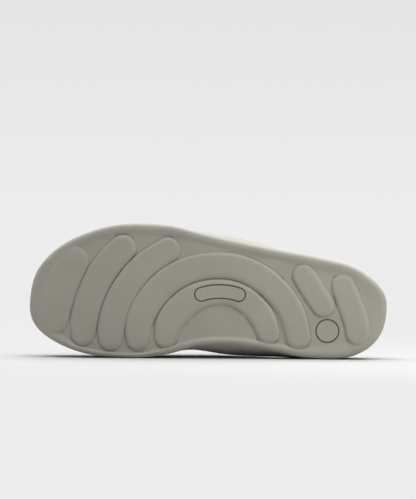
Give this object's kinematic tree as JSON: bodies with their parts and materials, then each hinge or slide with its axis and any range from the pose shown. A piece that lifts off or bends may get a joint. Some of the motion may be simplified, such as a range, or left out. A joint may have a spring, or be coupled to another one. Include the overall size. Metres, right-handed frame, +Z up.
{
  "type": "mule",
  "caption": "Left closed-toe mule of moulded foam with an open back, lying on its medial side, its arc-patterned tread facing forward.",
  "frame": {"origin": "middle of the bounding box's base, on the floor that the shoe lies on", "axes": "+X from the toe to the heel, +Y from the tread to the crown of the upper, +Z up from the medial to the lateral edge"},
  "size_m": [0.27, 0.0778, 0.1014],
  "materials": {
    "outsole": "matte moulded foam rubber, fine grain",
    "midsole": "matte moulded foam, fine grain",
    "footbed": "soft matte foam, fine texture",
    "upper": "matte moulded foam skin"
  },
  "bodies": {
    "root": {"outsole": "outsole", "midsole": "midsole", "footbed": "footbed", "upper": "upper"}
  },
  "joints": []
}
